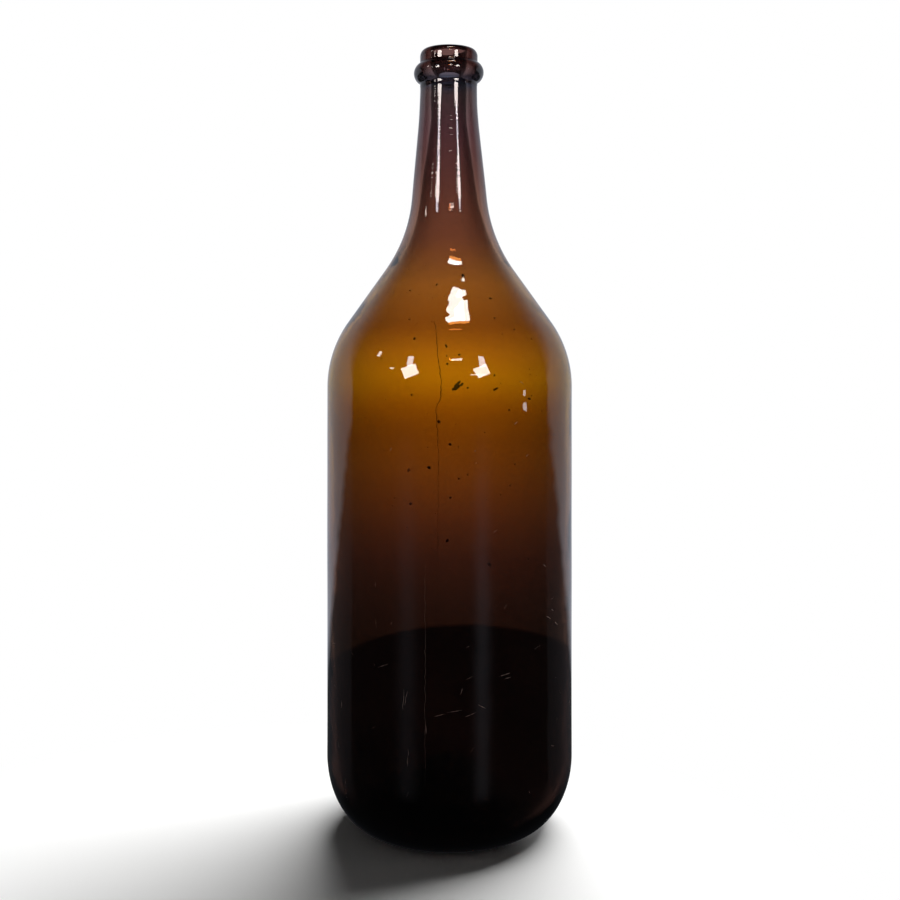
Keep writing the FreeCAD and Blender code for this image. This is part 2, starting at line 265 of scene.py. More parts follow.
def insideOutline(g):
    # from the top of the lip down the bore to the middle of the floor
    rest = g["restDiameter"] / 2
    top = g["height"]
    bore = g["boreDiameter"] / 2
    mouthDown = g["mouthRounding"] * g["melting"]
    lowSide = (g["bodyDiameter"] / 2 - g["lowerWall"], g["heelHeight"])
    domeRadius = g["pushUpRadius"] + g["floorWall"]
    domeCentre = g["pushUpHeight"] + g["floorWall"] - domeRadius
    points = domeAndFoot((rest, g["baseWall"] + g["valleyRadius"]), g["valleyRadius"],
                         (0, domeCentre), domeRadius)
    points += arcPoints((rest, g["heelHeight"]), (lowSide[0] - rest, g["heelHeight"] - g["baseWall"]),
                        270, 360, 1.2)[1:]
    points += wallRise(lowSide, (g["bodyDiameter"] / 2 - g["upperWall"], top - g["shoulderDrop"]),
                       g["shoulderLean"], (bore, top - g["boreDrop"]), g["boreLean"],
                       top - mouthDown,
                       (g["innerShoulderRadius"], g["innerRootRadius"], g["boreBendRadius"]))[1:]
    points += arcPoints((bore + g["mouthRounding"], top - mouthDown),
                        (g["mouthRounding"], mouthDown), 180, 90, g["lipSpacing"])[1:]
    return points[::-1]


# unevenness of hand-blown glass

blownUnevenness = {
    "seed": 11,
    "outsideDepth": 0.22,   # mm, only ever inwards
    "insideDepth": 0.55,
    "insideFull": 60.0,     # mm, radius from which the inside has its full waves
    "insideLeast": 0.15,    # share of them left in the bore
    "waves": 14,
    "wavesRound": (1, 2, 3, 4, 5, 7),
    "waveLength": (45, 160),        # mm up the wall
    "evenBase": 20.0,       # mm of the base and of the lip that keep their exact form
    "evenLip": 4.0,
    "baseFade": 40.0,
    "lipFade": 20.0,
    "skinInset": 0.06,      # mm that the skin stays within the body's true size
    # how far the hand-drawn centre line strays to the right, in mm, by height
    "leanHeights": (0, 230, 290, 345, 390, 425, 440, 458),
    "lean": (0, 0, 0.15, 0.15, -0.25, -0.6, -0.45, -0.35),
}


def rippleField(seed, waves, angle, height):
    # a few long waves round and up the wall, from -1 to 1
    rng = random.Random(seed)
    total = np.zeros_like(angle)
    weights = 0
    for _ in range(waves):
        around = rng.choice(blownUnevenness["wavesRound"])
        up = rng.uniform(-1, 1) * 2 * math.pi / rng.uniform(*blownUnevenness["waveLength"])
        weight = 1 / (1 + 0.4 * around)
        total += weight * np.sin(around * angle + up * height + rng.uniform(0, 2 * math.pi))
        weights += weight
    return total / weights * 2


def leanOf(height, u):
    return np.interp(height, u["leanHeights"], u["lean"])


def unevenness(g, u, angle, height):
    # how far the outer skin sinks in and how far the inner one moves, in mm; both die out
    # at the base and the lip
    fade = np.clip((height - u["evenBase"]) / u["baseFade"], 0, 1)
    fade = fade * np.clip((g["height"] - u["evenLip"] - height) / u["lipFade"], 0, 1)
    sunk = 0.5 + 0.5 * np.clip(rippleField(u["seed"], u["waves"], angle, height), -1, 1)
    moved = rippleField(u["seed"] + 1, u["waves"], angle, height)
    return fade * u["outsideDepth"] * sunk, fade * u["insideDepth"] * moved


def blownGlass(g, u, material):
    outside = outsideOutline(g)
    inside = insideOutline(g)
    outline = outside + inside
    ringLevel = g["height"] - g["ringDrop"]
    count = g["segmentsAround"]
    rows = np.array(outline[1:-1])
    angle = np.linspace(0, 2 * math.pi, count, endpoint=False)[None, :].repeat(len(rows), 0)
    radius = rows[:, :1].repeat(count, 1)
    height = rows[:, 1:].repeat(count, 1)
    isInside = (np.arange(len(rows)) >= len(outside) - 1)[:, None].repeat(count, 1)
    sunk, moved = unevenness(g, u, angle, height)
    moved = moved * np.clip(radius / u["insideFull"], u["insideLeast"], 1)
    largest = g["bodyDiameter"] / 2 - u["skinInset"]
    radius = np.where(isInside, radius + moved, np.minimum(radius - sunk, largest))
    # below the seam of the added finish the neck is a touch thinner
    onSkin = np.where(isInside, 0, 1)
    stray = np.sin(angle + 0.8) + np.sin(3 * angle) / 2
    seam = g["height"] - g["seamDrop"] + g["seamWander"] * stray
    below = np.clip((seam - height) / g["seamSoftness"], 0, 1)
    below = below * np.clip((height - g["seamFrom"]) / g["seamGrowth"], 0, 1)
    radius = radius - onSkin * below * g["seamStep"]
    # the ring is a touch higher on the right
    farness = abs(height - ringLevel) / g["ringSection"]
    nearRing = np.clip(g["tiltHold"] * (1 - farness), 0, 1) * onSkin
    height = height + nearRing * math.tan(math.radians(g["ringTilt"])) * radius * np.cos(angle)
    x = radius * np.cos(angle) + leanOf(height, u)
    y = radius * np.sin(angle)
    points = np.stack([x, y, height], -1).reshape(-1, 3) * mm
    points = [(0, 0, outline[0][1] * mm)] + [tuple(p) for p in points] + [(0, 0, outline[-1][1] * mm)]
    faces = []
    for i in range(count):
        faces.append((0, 1 + (i + 1) % count, 1 + i))
        faces.append((len(points) - 1, 1 + (len(rows) - 1) * count + i,
                      1 + (len(rows) - 1) * count + (i + 1) % count))
    for row in range(len(rows) - 1):
        low = 1 + row * count
        for i in range(count):
            after = (i + 1) % count
            faces.append((low + i, low + after, low + count + after, low + count + i))
    return addMesh("amberBottle", points, faces, material)


# the glass itself

amberGlassAndPaintedShade = {
    "ior": 1.52,            # soda-lime glass
    "roughness": 0.012,
    "absorptionColour": "#E8B060",
    "absorptionDensity": 12.0,     # per metre of glass
    "colourDrift": 6.0,     # mm that the colour strays up and down the wall
    "driftScale": 35.0,
    "turningSpacing": 1.4,  # mm between the fine rings left by the turning tool
    "turningDepth": 0.05,
    "turningRound": 12.0,   # per metre, how quickly a ring changes on its way round
    "turningFrom": 330.0,   # mm, height over which the rings set in
    "turningTo": 375.0,
    "skinScale": 16.0,      # mm, soft ripples of the fire-polished skin
    "skinDepth": 0.18,
    "paintedShadeLevel": 115.0,     # mm, where the painted shade of the dark lower third begins
    "paintedShadeSlant": 0.235,     # higher in front, so near and far edge fall together in the front view
    "paintedShadeArch": 3.0,        # per metre, how fast it falls to both sides
    "paintedShadeCrest": 10.0,      # mm to the right, where it stands highest
    "paintedShadeEdge": 2.2,        # mm over which it sets in
    "darkWander": 5.0,      # mm that its edge wanders up and down
    "darkWanderScale": 90.0,
    # painted shade: two dark tones, mottled, for the dark things seen through the lower third
    "paintedShadeColour": "#140D0C",
    "paintedShadeCloud": "#46302A",
    "paintedShadeCloudScale": 45.0,
    "edgeDarkeningAndPaintedReflection": "#30364C",        # where one looks along the wall: darker for the longer way through the glass, blue-grey as a painted reflection
    "edgePower": 0.95,
    "thickFrom": 325.0,     # mm, height over which the wall grows thick
    "thickTo": 400.0,
    "aslant": (0.12, 0.34),         # how far the thick wall is turned away where it goes deep
}
# colour of the wall by height in mm: the glass's own colour with painted light and shade of the backdrop
# behind the bottle, brightest in the golden band high on the body, darker down to the base; the neck's mauve
# and the seam's blue-grey are painted reflection
glassAndPaintedLightByHeight = [
    (0, "#483228"),
    (118, "#563E32"),
    (142, "#65473B"),
    (166, "#7C5442"),
    (190, "#956740"),
    (214, "#A57536"),
    (232, "#A97826"),
    (247, "#BB8916"),
    (262, "#D2A61E"),
    (276, "#D2A238"),
    (294, "#C48F42"),
    (318, "#CE9E5D"),
    (345, "#AA8069"),
    (380, "#96736C"),
    (410, "#896D73"),
    (432, "#7C6E70"),
    (438, "#4C5C74"),
    (446, "#6E504E"),
    (458, "#6C4C4A"),
]


def glassMaterial(m, byHeight):
    # amber soda-lime glass, blown and fire-polished: wet gloss over a deep see-through brown, its colour
    # holding painted light and shade
    material, tree = newMaterial("amberSodaLimeGlassWithPaintedLight")
    position = addNode(tree, "ShaderNodeTexCoord").outputs["Object"]
    split = addNode(tree, "ShaderNodeSeparateXYZ", inputs={"Vector": position})
    cloud = addNode(tree, "ShaderNodeTexNoise", inputs={
        "Vector": position, "Scale": 1 / (m["driftScale"] * mm), "Detail": 2.0})
    drift = addNode(tree, "ShaderNodeMath", {"operation": "MULTIPLY_ADD"}, {
        0: cloud.outputs["Fac"], 1: m["colourDrift"] * mm, 2: -m["colourDrift"] / 2 * mm})
    level = addNode(tree, "ShaderNodeMath", {"operation": "ADD"}, {
        0: split.outputs["Z"], 1: drift.outputs[0]})
    share = addNode(tree, "ShaderNodeMath", {"operation": "DIVIDE"}, {
        0: level.outputs[0], 1: byHeight[-1][0] * mm})
    ramp = addNode(tree, "ShaderNodeValToRGB", inputs={"Fac": share.outputs[0]})
    stops = ramp.color_ramp.elements
    while len(stops) < len(byHeight):
        stops.new(0.5)
    # all places before any colour, as Blender sorts the stops when one moves
    for stop, (height, colour) in zip(stops, byHeight):
        stop.position = height / byHeight[-1][0]
    for stop, (height, colour) in zip(stops, byHeight):
        stop.color = linear(colour)
    # painted shade: the dark lower third stands for what lies behind and under the bottle, seen through the
    # glass, painted in as darker glass
    slanted = addNode(tree, "ShaderNodeMath", {"operation": "MULTIPLY_ADD"}, {
        0: split.outputs["Y"], 1: m["paintedShadeSlant"], 2: split.outputs["Z"]})
    aside = addNode(tree, "ShaderNodeMath", {"operation": "ADD"}, {
        0: split.outputs["X"], 1: -m["paintedShadeCrest"] * mm})
    asideSquared = addNode(tree, "ShaderNodeMath", {"operation": "MULTIPLY"}, {
        0: aside.outputs[0], 1: aside.outputs[0]})
    arched = addNode(tree, "ShaderNodeMath", {"operation": "MULTIPLY_ADD"}, {
        0: asideSquared.outputs[0], 1: m["paintedShadeArch"], 2: slanted.outputs[0]})
    wander = addNode(tree, "ShaderNodeTexNoise", inputs={
        "Vector": position, "Scale": 1 / (m["darkWanderScale"] * mm), "Detail": 1.0})
    wandered = addNode(tree, "ShaderNodeMath", {"operation": "MULTIPLY_ADD"}, {
        0: wander.outputs["Fac"], 1: m["darkWander"] * mm, 2: arched.outputs[0]})
    middle = (m["paintedShadeLevel"] + m["darkWander"] / 2) * mm
    above = addNode(tree, "ShaderNodeMapRange", {"interpolation_type": "SMOOTHSTEP"}, {
        "Value": wandered.outputs[0], "From Min": middle - m["paintedShadeEdge"] / 2 * mm,
        "From Max": middle + m["paintedShadeEdge"] / 2 * mm})
    paintedShadeMottle = addNode(tree, "ShaderNodeTexNoise", inputs={
        "Vector": position, "Scale": 1 / (m["paintedShadeCloudScale"] * mm), "Detail": 3.0})
    paintedShadeTone = addNode(tree, "ShaderNodeMix", {"data_type": "RGBA"}, {
        0: paintedShadeMottle.outputs["Fac"], 6: linear(m["paintedShadeColour"]), 7: linear(m["paintedShadeCloud"])})
    glassTintWithPaintedLight = addNode(tree, "ShaderNodeMix", {"data_type": "RGBA"}, {
        0: above.outputs[0], 6: paintedShadeTone.outputs[2], 7: ramp.outputs["Color"]})
    # darker where one looks along the wall, as light crosses more glass there, and bluer as a painted
    # reflection
    grazing = addNode(tree, "ShaderNodeLayerWeight", inputs={"Blend": 0.5})
    curved = addNode(tree, "ShaderNodeMath", {"operation": "POWER"}, {
        0: grazing.outputs["Facing"], 1: m["edgePower"]})
    thick = addNode(tree, "ShaderNodeMapRange", {"interpolation_type": "SMOOTHSTEP"}, {
        "Value": split.outputs["Z"], "From Min": m["thickFrom"] * mm, "From Max": m["thickTo"] * mm})
    edged = addNode(tree, "ShaderNodeMix", {"data_type": "RGBA", "blend_type": "MULTIPLY"}, {
        0: curved.outputs[0], 6: glassTintWithPaintedLight.outputs[2], 7: linear(m["edgeDarkeningAndPaintedReflection"])})
    # the sides of the thick neck, which light crosses lengthways, take the colour twice
    aslant = addNode(tree, "ShaderNodeMapRange", {"interpolation_type": "SMOOTHSTEP"}, {
        "Value": grazing.outputs["Facing"], "From Min": m["aslant"][0], "From Max": m["aslant"][1]})
    twice = addNode(tree, "ShaderNodeMath", {"operation": "MULTIPLY"}, {
        0: aslant.outputs[0], 1: thick.outputs[0]})
    deep = addNode(tree, "ShaderNodeMix", {"data_type": "RGBA", "blend_type": "MULTIPLY"}, {
        0: twice.outputs[0], 6: edged.outputs[2], 7: glassTintWithPaintedLight.outputs[2]})
    # fine rings left on the neck by the turning tool, and the skin's soft ripples
    squeezed = addNode(tree, "ShaderNodeMapping", inputs={
        "Vector": position, "Scale": (m["turningRound"], m["turningRound"], 1 / (m["turningSpacing"] * mm))})
    turning = addNode(tree, "ShaderNodeTexNoise", inputs={
        "Vector": squeezed.outputs[0], "Scale": 1.0, "Detail": 2.0})
    onNeck = addNode(tree, "ShaderNodeMapRange", inputs={
        "Value": split.outputs["Z"], "From Min": m["turningFrom"] * mm, "From Max": m["turningTo"] * mm})
    turned = addNode(tree, "ShaderNodeMath", {"operation": "MULTIPLY"}, {
        0: turning.outputs["Fac"], 1: onNeck.outputs[0]})
    skin = addNode(tree, "ShaderNodeTexNoise", inputs={
        "Vector": position, "Scale": 1 / (m["skinScale"] * mm), "Detail": 1.0})
    skinBump = addNode(tree, "ShaderNodeBump", inputs={
        "Height": skin.outputs["Fac"], "Strength": 1.0, "Distance": m["skinDepth"] * mm})
    turnBump = addNode(tree, "ShaderNodeBump", inputs={
        "Height": turned.outputs[0], "Strength": 1.0, "Distance": m["turningDepth"] * mm,
        "Normal": skinBump.outputs[0]})
    glass = addNode(tree, "ShaderNodeBsdfPrincipled", inputs={
        "Base Color": deep.outputs[2], "Roughness": m["roughness"], "IOR": m["ior"],
        "Transmission Weight": 1.0, "Normal": turnBump.outputs[0]})
    inGlass = addNode(tree, "ShaderNodeVolumeAbsorption", inputs={
        "Color": linear(m["absorptionColour"]), "Density": m["absorptionDensity"]})
    addNode(tree, "ShaderNodeOutputMaterial", inputs={
        "Surface": glass.outputs[0], "Volume": inGlass.outputs[0]})
    return material


bottle = blownGlass(glassSizes, blownUnevenness, glassMaterial(amberGlassAndPaintedShade, glassAndPaintedLightByHeight))
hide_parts("bottle")
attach(bottle, "root")
print("bottle blown:", len(bottle.data.polygons), "faces")


# marks in and on the glass

def wallRadius(outline, height):
    # radius of the wall alone, without the pushed-up base, so one at each height
    rest = glassSizes["restDiameter"] / 2 + 0.5
    clear = glassSizes["pushUpHeight"] * 2
    wall = sorted((z, r) for r, z in outline if r > rest or z > clear)
    return np.interp(height, [z for z, r in wall], [r for z, r in wall])


def inWall(turn, height, depth):
    # a place on the bottle: degrees round from the front to the right, height, depth under the skin
    angle = np.array(math.radians(turn - 90))
    sunk = unevenness(glassSizes, blownUnevenness, angle, np.array(float(height)))[0]
    largest = glassSizes["bodyDiameter"] / 2 - blownUnevenness["skinInset"]
    radius = min(wallRadius(outsideShape, height) - float(sunk), largest) - depth
    lean = float(leanOf(height, blownUnevenness))
    return Vector((radius * math.cos(angle) + lean, radius * math.sin(angle), height)) * mm


def ribbon(path, widths, depth):
    # a strip that follows the wall; path holds (degrees, height)
    points = []
    for i, (turn, height) in enumerate(path):
        before = path[max(0, i - 1)]
        after = path[min(len(path) - 1, i + 1)]
        radius = wallRadius(outsideShape, height)
        along = Vector((math.radians(after[0] - before[0]) * radius, after[1] - before[1])).normalized()
        half = widths[i] / 2
        across = math.degrees(-along.y * half / radius)
        for side in (-1, 1):
            points.append(inWall(turn + side * across, height + side * along.x * half, depth))
    faces = [(2 * i, 2 * i + 1, 2 * i + 3, 2 * i + 2) for i in range(len(path) - 1)]
    return points, faces


def blob(centre, sizes, rng):
    # a small uneven lump: three rings of eight points and two poles, flattened along the wall
    out = Vector((centre.x, centre.y, 0)).normalized()
    aside = Vector((-out.y, out.x, 0))
    tilt = rng.uniform(0, math.pi)
    up = Vector((0, 0, 1))
    long = aside * math.cos(tilt) + up * math.sin(tilt)
    short = up * math.cos(tilt) - aside * math.sin(tilt)
    points = [centre - out * sizes[2] * mm]
    for level in (-50, 0, 50):
        for i in range(8):
            turned = math.radians(i * 45)
            wide = math.cos(math.radians(level)) * rng.uniform(0.7, 1.15)
            around = long * math.cos(turned) * sizes[0] + short * math.sin(turned) * sizes[1]
            rise = math.sin(math.radians(level)) * sizes[2]
            points.append(centre + around * wide * mm + out * rise * mm)
    points.append(centre + out * sizes[2] * mm)
    faces = []
    for i in range(8):
        after = (i + 1) % 8
        faces.append((0, 1 + after, 1 + i))
        faces.append((25, 17 + i, 17 + after))
        for row in (1, 9):
            faces.append((row + i, row + after, row + 8 + after, row + 8 + i))
    return points, faces


def joined(name, parts, material, smooth=True):
    points = []
    faces = []
    for partPoints, partFaces in parts:
        start = len(points)
        points += partPoints
        faces += [tuple(start + corner for corner in face) for face in partFaces]
    piece = addMesh(name, points, faces, material, smooth)
    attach(piece, "root")
    return piece


def mottledMaterial(name, dark, light, scale, roughness):
    # two tones in fine grains, no sheen
    material, tree = newMaterial(name)
    position = addNode(tree, "ShaderNodeTexCoord").outputs["Object"]
    grain = addNode(tree, "ShaderNodeTexNoise", inputs={
        "Vector": position, "Scale": 1 / (scale * mm), "Detail": 3.0})
    tone = addNode(tree, "ShaderNodeMix", {"data_type": "RGBA"}, {
        0: grain.outputs["Fac"], 6: linear(dark), 7: linear(light)})
    rough = addNode(tree, "ShaderNodeBump", inputs={
        "Height": grain.outputs["Fac"], "Strength": 0.6, "Distance": 0.1 * mm})
    surface = addNode(tree, "ShaderNodeBsdfPrincipled", inputs={
        "Base Color": tone.outputs[2], "Roughness": roughness, "Normal": rough.outputs[0]})
    addNode(tree, "ShaderNodeOutputMaterial", inputs={"Surface": surface.outputs[0]})
    return material


stones = {                  # bits of clay and unmelted batch that never melted into the glass
    "seed": 5,
    "depth": 1.6,           # mm under the skin
    "fineDepths": (0.7, 2.4),
    "largeScale": 1.35,
    "thickness": 0.4,
    # degrees round from the front, height, half length and half width in mm
    "large": [(-4.6, 241.2, 0.8, 0.7), (20.5, 258.7, 1.2, 0.45), (20.1, 266.0, 0.6, 0.4),
              (-17.9, 215.1, 1.0, 0.35), (-8.9, 216.5, 0.9, 0.6), (0.3, 229.2, 0.7, 0.55),
              (-1.0, 177.4, 0.8, 0.6), (17.6, 164.0, 1.0, 0.4), (-1.0, 272.3, 0.6, 0.5),
              (4.3, 277.1, 0.5, 0.4), (-1.6, 281.7, 0.8, 0.4), (37.8, 252.9, 0.9, 0.5),
              (27.0, 247.2, 0.5, 0.4), (-17.2, 196.8, 0.6, 0.5), (7.9, 212.7, 0.7, 0.3),
              (-16.6, 255.6, 0.5, 0.4), (10.4, 321.0, 1.1, 0.6), (0.3, 200.5, 0.6, 0.5),
              (34.8, 290.7, 0.6, 0.4), (25.0, 297.0, 0.5, 0.4), (-22.3, 296.2, 0.5, 0.4),
              (-17.2, 285.7, 0.6, 0.5), (-28.2, 312.7, 0.6, 0.4), (26.7, 308.1, 0.9, 0.4),
              (44.4, 285.5, 0.4, 0.4), (27.5, 206.2, 0.5, 0.3), (30.0, 217.5, 0.5, 0.3),
              (7.9, 259.4, 0.5, 0.4), (4.1, 210.7, 0.5, 0.4), (-9.4, 315.9, 0.6, 0.4)],
    "fineCount": 260,
    "fineSize": (0.16, 0.48),
    "fineHeights": (150, 345),
    "dark": "#140C06",
    "light": "#33210F",
}


def makeStones(m):
    rng = random.Random(m["seed"])
    parts = []
    for turn, height, long, short in m["large"]:
        sizes = (m["largeScale"] * long, m["largeScale"] * short, m["thickness"])
        parts.append(blob(inWall(turn, height, m["depth"]), sizes, rng))
    for _ in range(m["fineCount"]):
        size = rng.uniform(*m["fineSize"])
        place = inWall(rng.uniform(-180, 180), rng.uniform(*m["fineHeights"]), rng.uniform(*m["fineDepths"]))
        parts.append(blob(place, (size, size * rng.uniform(0.4, 1), size * 0.6), rng))
    # fired clay grit caught in the melt: dull and nearly black against the light
    material = mottledMaterial("firedClayGritInGlass", m["dark"], m["light"], 0.3, 0.9)
    return joined("stonesInGlass", parts, material)


seeds = {                   # small air bubbles, drawn out along the blow
    "seed": 8,
    "count": 210,
    "size": (0.10, 0.30),
    "heights": ((140, 300), (260, 350)),
    "clusterCount": 60,
    "cluster": (5, 9, 318, 9),      # degrees and their spread, height and its spread
    "depths": (0.5, 2.2),   # mm under the skin
    "slender": 0.7,         # the two short ways against the long one
    "ior": 1.33,
    "roughness": 0.03,
    "cloudScale": 4.0,
    "dark": "#E8D2B0",
    "light": "#FFF4E0",
}


def makeSeeds(m):
    rng = random.Random(m["seed"])
    parts = []
    for i in range(m["count"] + m["clusterCount"]):
        size = rng.uniform(*m["size"])
        turn = rng.uniform(-180, 180)
        height = rng.choice([rng.uniform(*m["heights"][0]), rng.uniform(*m["heights"][1])])
        if i >= m["count"]:
            turn = rng.gauss(m["cluster"][0], m["cluster"][1])
            height = rng.gauss(m["cluster"][2], m["cluster"][3])
        place = inWall(turn, height, rng.uniform(*m["depths"]))
        parts.append(blob(place, (size, size * m["slender"], size * m["slender"]), rng))
    # trapped air: bright and dark pinpoints where the light bends round it
    material, tree = newMaterial("trappedAirInGlass")
    position = addNode(tree, "ShaderNodeTexCoord").outputs["Object"]
    cloud = addNode(tree, "ShaderNodeTexNoise", inputs={
        "Vector": position, "Scale": 1 / (m["cloudScale"] * mm)})
    tone = addNode(tree, "ShaderNodeMix", {"data_type": "RGBA"}, {
        0: cloud.outputs["Fac"], 6: linear(m["dark"]), 7: linear(m["light"])})
    air = addNode(tree, "ShaderNodeBsdfPrincipled", inputs={
        "Base Color": tone.outputs[2], "Roughness": m["roughness"], "IOR": m["ior"],
        "Transmission Weight": 1.0})
    addNode(tree, "ShaderNodeOutputMaterial", inputs={"Surface": air.outputs[0]})
    return joined("seedBubbles", parts, material)


crack = {                   # hairline that runs down the front from the shoulder
    "seed": 3,
    # degrees round from the front and height
    "route": [(-8.0, 295.6), (-6.4, 288.4), (-5.3, 276.0), (-3.6, 263.7), (-3.6, 255.7), (-5.8, 248.0),
              (-5.1, 234.8), (-4.8, 219.2), (-4.8, 197.8), (-5.3, 187.0), (-4.6, 164.0)],
    "step": 1.1,            # mm
    "wander": 0.4,
    "widths": (0.30, 0.34, 0.16, 0.07),   # top to bottom
    "depth": 0.9,
    "dark": "#120A05",
    "light": "#2A190B",
}


def makeCrack(m):
    rng = random.Random(m["seed"])
    turns = [turn for turn, height in m["route"]][::-1]
    heights = [height for turn, height in m["route"]][::-1]
    count = round((heights[-1] - heights[0]) / m["step"])
    path = []
    for i in range(count + 1):
        height = heights[0] + (heights[-1] - heights[0]) * i / count
        swing = math.sin(height * 0.9) * math.sin(height * 0.23)
        sway = m["wander"] * (rng.uniform(-1, 1) * 0.5 + 0.6 * swing)
        turn = float(np.interp(height, heights, turns))
        path.append((turn + math.degrees(sway / wallRadius(outsideShape, height)), height))
    shares = np.linspace(0, 1, len(m["widths"]))
    widths = [float(np.interp(1 - i / count, shares, m["widths"])) * rng.uniform(0.6, 1.3)
              for i in range(count + 1)]
    # the crack drawn as a thin dark thread
    material = mottledMaterial("hairlineCrackDarkThread", m["dark"], m["light"], 1.5, 0.85)
    return joined("hairlineCrack", [ribbon(path, widths, m["depth"])], material, smooth=False)


husk = {                    # a scrap of dry husk stuck to the inside
    "seed": 21,
    "place": (3.7, 260.2),
    "standsOff": 0.4,       # mm from the inner skin
    "reach": 3.3,           # mm each way
    "lean": 42,             # degrees up to the right
    "leanSpread": 38,
    "blades": 15,
    "bladeSize": (1.9, 0.62),
    "bladeScatter": 1.1,
    "bladeLift": 0.3,
    "bladeCurl": 0.25,
    "dark": "#17100A",
    "light": "#4A3A16",
}


def makeHusk(m):
    rng = random.Random(m["seed"])
    level = m["place"][1]
    wall = wallRadius(outsideShape, level) - wallRadius(insideShape, level)
    centre = inWall(*m["place"], wall + m["standsOff"])
    out = Vector((centre.x, centre.y, 0)).normalized()
    aside = Vector((-out.y, out.x, 0))
    up = Vector((0, 0, 1))
    wholeLean = math.radians(m["lean"])
    ridge = aside * math.cos(wholeLean) + up * math.sin(wholeLean)
    parts = []
    for i in range(m["blades"]):
        along = (i / (m["blades"] - 1) * 2 - 1) * m["reach"] * 0.75
        lean = math.radians(m["lean"] + rng.uniform(-m["leanSpread"], m["leanSpread"]))
        spine = aside * math.cos(lean) + up * math.sin(lean)
        wide = up * math.cos(lean) - aside * math.sin(lean)
        base = centre + ridge * along * mm
        shift = wide * rng.uniform(-m["bladeScatter"], m["bladeScatter"])
        base += (shift - out * rng.uniform(0, m["bladeLift"])) * mm
        length = m["bladeSize"][0] * rng.uniform(0.6, 1.2) * (1.2 - abs(along) / m["reach"] * 0.6)
        points = []
        for k in range(7):
            t = k / 6
            half = m["bladeSize"][1] * math.sin(math.pi * (0.08 + 0.9 * t)) ** 0.8 * rng.uniform(0.8, 1.15)
            curl = m["bladeCurl"] * math.sin(math.pi * t)
            middle = base + spine * (t - 0.5) * 2 * length * mm - out * curl * mm
            points += [middle - wide * half * mm, middle + wide * half * mm]
        parts.append((points, [(2 * k, 2 * k + 1, 2 * k + 3, 2 * k + 2) for k in range(6)]))
    # dry plant skin: matt, brown to olive
    material = mottledMaterial("dryPlantHusk", m["dark"], m["light"], 0.8, 0.9)
    return joined("huskScrap", parts, material, smooth=False)


scuffs = {                  # pale scratches on the outer skin, and one long thin pale line down the lower front
    "seed": 17,
    # degrees, height, length in mm, lean from upright in degrees, width
    # the second mark is that long line, drawn upright from 46 to 164 mm
    "marks": [(-54, 33, 13, 6, 0.25), (-10.4, 105, 118, 0, 0.07), (50, 130.5, 5, -62, 0.45),
              (56, 126, 4, -55, 0.40), (53, 134, 3, -65, 0.35), (47, 160, 3, -60, 0.3),
              (-30, 108, 7, 68, 0.22), (24.5, 104, 7, 80, 0.25), (26, 102, 4, 84, 0.2),
              (-20, 91, 11, 4, 0.3), (-19, 92, 8, 10, 0.2), (-10, 76, 5, 0, 0.25),
              (-4, 84, 6, 75, 0.3), (2, 86, 8, 82, 0.25), (9, 84, 6, 70, 0.25), (14, 88, 5, -60, 0.25),
              (-18, 60, 9, 3, 0.22), (-57, 80, 4, 0, 0.25), (10.9, 225.6, 0.7, 0, 0.5),
              (11.4, 219.1, 0.6, 0, 0.5), (33, 262, 3, -50, 0.3), (30, 240, 3, 55, 0.3),
              (36, 222, 2, 60, 0.3), (-26, 226, 2, 20, 0.25), (20, 182, 2.5, 60, 0.25)],
    "fineCount": 80,
    "fineLength": (1.0, 5.0),
    "fineWidth": (0.06, 0.14),
    "fineHeight": (85, 40),         # middle and spread
    "fineLean": 50,         # degrees, spread
    "heights": (20, 300),   # nothing below or above
    "sideRadius": 72.0,     # mm, turns a length round the body into degrees
    "dark": "#2C201C",
    "light": "#80685C",
}


def makeScuffs(m):
    rng = random.Random(m["seed"])
    marks = list(m["marks"])
    for _ in range(m["fineCount"]):
        marks.append((rng.uniform(-180, 180), rng.gauss(*m["fineHeight"]), rng.uniform(*m["fineLength"]),
                      rng.gauss(0, m["fineLean"]), rng.uniform(*m["fineWidth"])))
    parts = []
    for turn, height, length, lean, width in marks:
        if not m["heights"][0] < height < m["heights"][1]:
            continue
        count = max(3, round(length / 2))
        sine = math.sin(math.radians(lean))
        cosine = math.cos(math.radians(lean))
        path = []
        for i in range(count + 1):
            along = (i / count - 0.5) * length
            sway = rng.uniform(-0.05, 0.05) * min(length, 6)
            aside = sine * along + cosine * sway
            path.append((turn + math.degrees(aside / m["sideRadius"]), height + cosine * along))
        widths = [width * (0.25 + math.sin(math.pi * i / count)) * rng.uniform(0.6, 1.2)
                  for i in range(count + 1)]
        parts.append(ribbon(path, widths, 0.0))
    # glass scraped to powder: a dull pale line on the gloss
    material = mottledMaterial("scrapedGlassSkin", m["dark"], m["light"], 1.0, 0.7)
    return joined("scuffMarks", parts, material, smooth=False)


outsideShape = outsideOutline(glassSizes)
insideShape = insideOutline(glassSizes)
for piece in (makeStones(stones), makeSeeds(seeds), makeCrack(crack), makeHusk(husk), makeScuffs(scuffs)):
    print(piece.name, len(piece.data.polygons), "faces")


# stage

